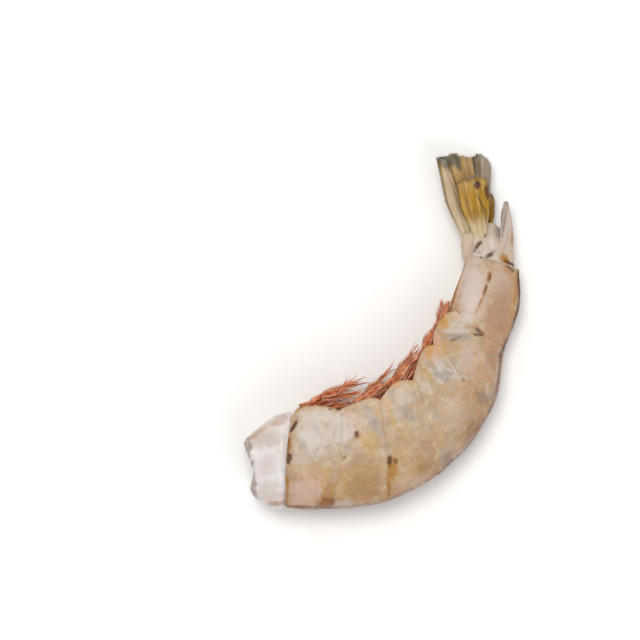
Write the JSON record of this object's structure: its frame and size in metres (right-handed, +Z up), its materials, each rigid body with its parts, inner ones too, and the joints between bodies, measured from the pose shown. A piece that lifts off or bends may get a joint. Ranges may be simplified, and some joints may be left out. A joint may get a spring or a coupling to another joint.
{
  "type": "raw headless shell-on whiteleg shrimp",
  "caption": "Raw headless shrimp lying on its left side, curled: white meat at the cut end, overlapping plates of shell, folded swimmerets and a half-closed tail fan.",
  "frame": {"origin": "middle of the bottom of the bounding box, on the surface that the shrimp lies on", "axes": "+Z up, with the right flank on top; +Y from the back of the front segments to the tail fan, the longest way; the cut end faces -X"},
  "size_m": [0.0654, 0.086, 0.0193],
  "materials": {
    "flesh": "wet raw shrimp meat, white with a pink and grey tint",
    "shell": "thin translucent shell, tan to pinkish beige with grey-blue and yellow mottling",
    "tail": "golden olive blades with pale ribs and dark grey tips",
    "swimmeret": "soft orange-pink swimming legs with fine hairs"
  },
  "bodies": {
    "root": {"meat": "flesh", "shell_1": "shell", "shell_2": "shell", "shell_3": "shell", "shell_4": "shell", "shell_5": "shell", "shell_6": "shell", "telson": "tail", "uropod_base_right": "tail", "uropod_base_left": "tail", "uropod_exopod_right": "tail", "uropod_endopod_right": "tail", "uropod_exopod_left": "tail", "uropod_endopod_left": "tail", "swimmeret_right_1": "swimmeret", "swimmeret_left_1": "swimmeret", "swimmeret_right_2": "swimmeret", "swimmeret_left_2": "swimmeret", "swimmeret_right_3": "swimmeret", "swimmeret_left_3": "swimmeret", "swimmeret_right_4": "swimmeret", "swimmeret_left_4": "swimmeret", "swimmeret_right_5": "swimmeret", "swimmeret_left_5": "swimmeret"}
  },
  "joints": []
}
